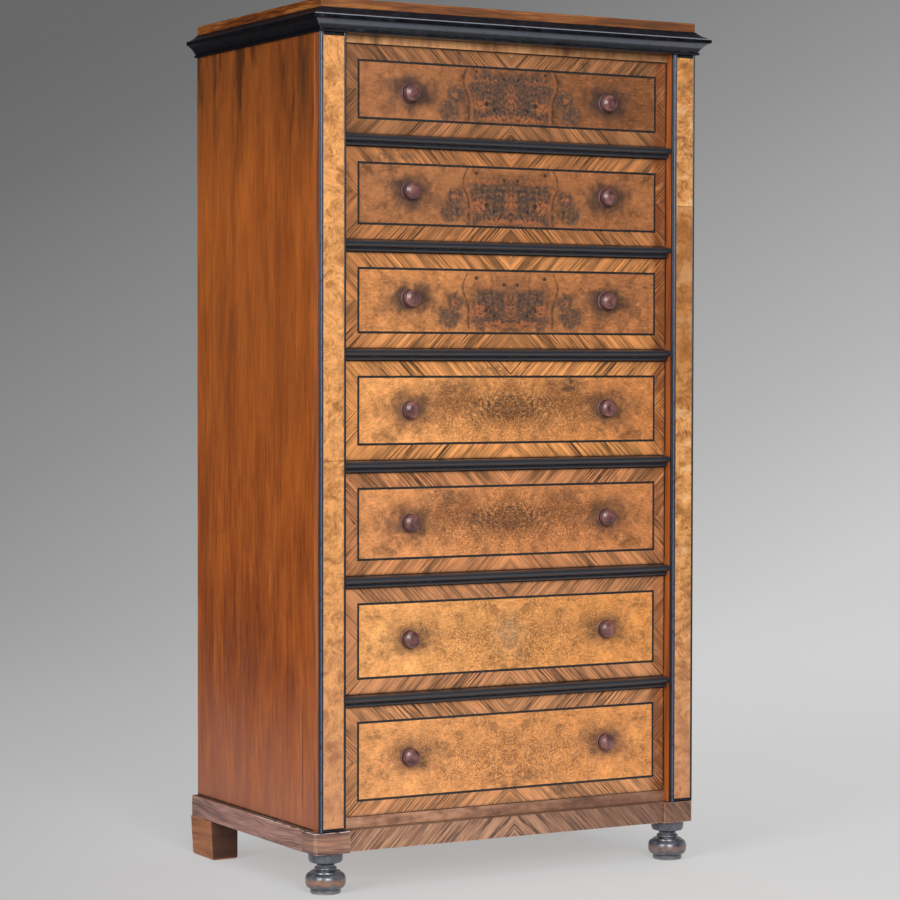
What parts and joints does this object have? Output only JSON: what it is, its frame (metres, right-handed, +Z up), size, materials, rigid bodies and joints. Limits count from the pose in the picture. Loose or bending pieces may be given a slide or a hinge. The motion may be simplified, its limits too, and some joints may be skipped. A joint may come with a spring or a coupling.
{
  "type": "semainier",
  "caption": "Tall narrow chest whose drawers deepen towards the floor, between beaded pilasters, under a mitred cornice, on turned front feet.",
  "frame": {"origin": "on the floor, under the middle of the whole chest", "axes": "+Z up; +X to the right for someone facing the drawers; +Y from the drawer fronts to the back, so drawers pull out along -Y"},
  "size_m": [0.8028, 0.5214, 1.5207],
  "materials": {
    "side_left": "French-polished mahogany, upright grain, cracks and wear",
    "side_right": "French-polished mahogany, upright grain",
    "back_boards": "raw softwood boards, darkened",
    "bottom_rail": "polished walnut edge",
    "frieze": "polished walnut veneer",
    "cap": "polished mahogany, slightly worn",
    "pilaster": "polished burr walnut veneer between ebonised beads",
    "cornice": "ebonised, polished, edges rubbed",
    "plinth_front": "polished walnut cross-banding",
    "plinth_side": "polished mahogany",
    "plinth_block": "polished walnut, worn corners",
    "turned_foot": "ebonised turned wood, rubbed brown at the widest line",
    "rear_foot": "stained wood, worn edges",
    "inner_wood": "planed softwood, unpolished",
    "rail_moulding": "ebonised, polished",
    "drawer_front": "polished burr walnut with dark stringing and cross-banding",
    "drawer_box": "planed wood, unpolished",
    "knob": "turned dark wood, polished"
  },
  "bodies": {
    "carcass": {"side_left": "side_left", "side_right": "side_right", "back_panel": "back_boards", "bottom_board": "bottom_rail", "frieze_rail": "frieze", "cap_board": "cap", "pilaster_left": "pilaster", "pilaster_right": "pilaster", "divider_1": "inner_wood", "divider_2": "inner_wood", "divider_3": "inner_wood", "divider_4": "inner_wood", "divider_5": "inner_wood", "divider_6": "inner_wood", "rail_moulding_1": "rail_moulding", "rail_moulding_2": "rail_moulding", "rail_moulding_3": "rail_moulding", "rail_moulding_4": "rail_moulding", "rail_moulding_5": "rail_moulding", "rail_moulding_6": "rail_moulding", "cornice_front": "cornice", "cornice_left": "cornice", "cornice_right": "cornice", "plinth_front": "plinth_front", "plinth_left": "plinth_side", "plinth_right": "plinth_side", "plinth_block_left": "plinth_block", "plinth_block_right": "plinth_block", "front_foot_left": "turned_foot", "front_foot_right": "turned_foot", "rear_foot_left": "rear_foot", "rear_foot_right": "rear_foot"},
    "drawer_1": {"drawer_front_1": "drawer_front", "drawer_box_1": "drawer_box", "knob_left_1": "knob", "knob_right_1": "knob"},
    "drawer_2": {"drawer_front_2": "drawer_front", "drawer_box_2": "drawer_box", "knob_left_2": "knob", "knob_right_2": "knob"},
    "drawer_3": {"drawer_front_3": "drawer_front", "drawer_box_3": "drawer_box", "knob_left_3": "knob", "knob_right_3": "knob"},
    "drawer_4": {"drawer_front_4": "drawer_front", "drawer_box_4": "drawer_box", "knob_left_4": "knob", "knob_right_4": "knob"},
    "drawer_5": {"drawer_front_5": "drawer_front", "drawer_box_5": "drawer_box", "knob_left_5": "knob", "knob_right_5": "knob"},
    "drawer_6": {"drawer_front_6": "drawer_front", "drawer_box_6": "drawer_box", "knob_left_6": "knob", "knob_right_6": "knob"},
    "drawer_7": {"drawer_front_7": "drawer_front", "drawer_box_7": "drawer_box", "knob_left_7": "knob", "knob_right_7": "knob"}
  },
  "joints": [
    {"name": "drawer_1_slide", "type": "slide", "parent": "carcass", "child": "drawer_1", "axis": [0, -1, 0], "range_m": [0, 0.33]},
    {"name": "drawer_2_slide", "type": "slide", "parent": "carcass", "child": "drawer_2", "axis": [0, -1, 0], "range_m": [0, 0.33]},
    {"name": "drawer_3_slide", "type": "slide", "parent": "carcass", "child": "drawer_3", "axis": [0, -1, 0], "range_m": [0, 0.33]},
    {"name": "drawer_4_slide", "type": "slide", "parent": "carcass", "child": "drawer_4", "axis": [0, -1, 0], "range_m": [0, 0.33]},
    {"name": "drawer_5_slide", "type": "slide", "parent": "carcass", "child": "drawer_5", "axis": [0, -1, 0], "range_m": [0, 0.33]},
    {"name": "drawer_6_slide", "type": "slide", "parent": "carcass", "child": "drawer_6", "axis": [0, -1, 0], "range_m": [0, 0.33]},
    {"name": "drawer_7_slide", "type": "slide", "parent": "carcass", "child": "drawer_7", "axis": [0, -1, 0], "range_m": [0, 0.33]}
  ]
}
